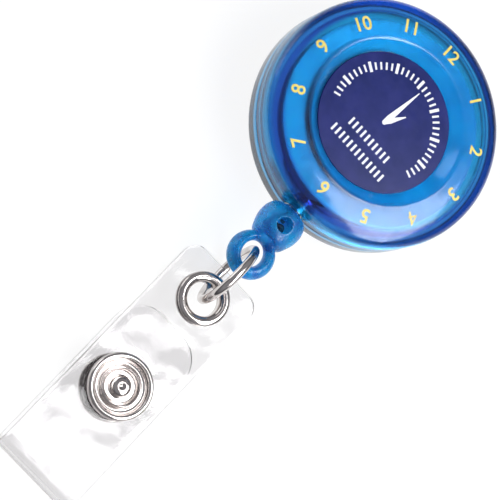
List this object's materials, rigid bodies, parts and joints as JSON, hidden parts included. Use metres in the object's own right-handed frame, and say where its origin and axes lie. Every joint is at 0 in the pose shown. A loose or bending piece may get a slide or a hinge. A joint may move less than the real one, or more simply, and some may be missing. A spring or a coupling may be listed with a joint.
{
  "type": "retractable badge reel",
  "caption": "Round translucent reel with a dial face, a self-winding cord, a belt clip, a connector with a jump ring, and a clear vinyl snap strap for a badge.",
  "frame": {"origin": "on the reel's axis, on the flat underside of the belt clip's tongue, where the object rests face up", "axes": "+Z out of the dial face, +Y towards 12 o'clock and the clip's bend, -Y the way the cord is pulled"},
  "size_m": [0.032, 0.0783, 0.012],
  "materials": {
    "blue_plastic": "glossy, translucent",
    "navy_label": "satin print",
    "white_plastic": "satin",
    "nylon_cord": "braided nylon",
    "nickel": "bright nickel plate",
    "spring_steel": "satin",
    "clear_vinyl": "clear, glossy"
  },
  "bodies": {
    "case": {"rear_cover": "blue_plastic", "front_cover": "blue_plastic", "face_label": "navy_label", "exit_bushing": "nickel", "clip_plate": "spring_steel", "clip_rivet": "nickel", "spindle": "white_plastic"},
    "clip_leg": {"clip_tongue": "spring_steel"},
    "spool": {"cord_spool": "white_plastic", "spring_cover": "white_plastic", "spiral_spring": "spring_steel", "cord_coil": "nylon_cord"},
    "connector": {"end_fitting": "blue_plastic", "cord_lead": "nylon_cord", "cord_knot": "nylon_cord"},
    "ring": {"jump_ring": "nickel"},
    "strap": {"strap_front": "clear_vinyl", "eyelet": "nickel", "eyelet_washer": "nickel", "snap_ring": "nickel", "snap_stud": "nickel"},
    "flap": {"strap_flap": "clear_vinyl", "snap_socket": "nickel", "snap_spring": "spring_steel", "snap_cap": "nickel"}
  },
  "joints": [
    {"name": "cord_pull", "type": "slide", "parent": "case", "child": "connector", "axis": [0, -1, 0], "range_m": [0, 0.86], "stiffness_N_per_m": 0.5, "springref_m": -2, "deforming": ["cord_lead"]},
    {"name": "spool_spin", "type": "hinge", "parent": "case", "child": "spool", "pos_m": [0, 0, 0.007], "axis": [0, 0, -1], "range_deg": [0, 4785], "deforming": ["spiral_spring", "cord_coil"]},
    {"name": "clip_flex", "type": "hinge", "parent": "case", "child": "clip_leg", "pos_m": [0, 0.0115, 0.0018], "axis": [1, 0, 0], "range_deg": [0, 14], "stiffness_Nm_per_rad": 1, "springref_deg": -11.46},
    {"name": "ring_swivel", "type": "hinge", "parent": "connector", "child": "ring", "pos_m": [0, -0.02303, 0.007], "axis": [0, 0, 1], "range_deg": [-45, 45]},
    {"name": "strap_swing", "type": "hinge", "parent": "ring", "child": "strap", "pos_m": [0, -0.0272, 0.0053], "axis": [1, 0, 0], "range_deg": [-60, 65]},
    {"name": "snap_open", "type": "hinge", "parent": "strap", "child": "flap", "pos_m": [0, -0.062, 0.0029], "axis": [-1, 0, 0], "range_deg": [0, 140]}
  ],
  "couplings": [
    {"joint": "spool_spin", "follows": "cord_pull", "rad_per_m": 97.09}
  ]
}
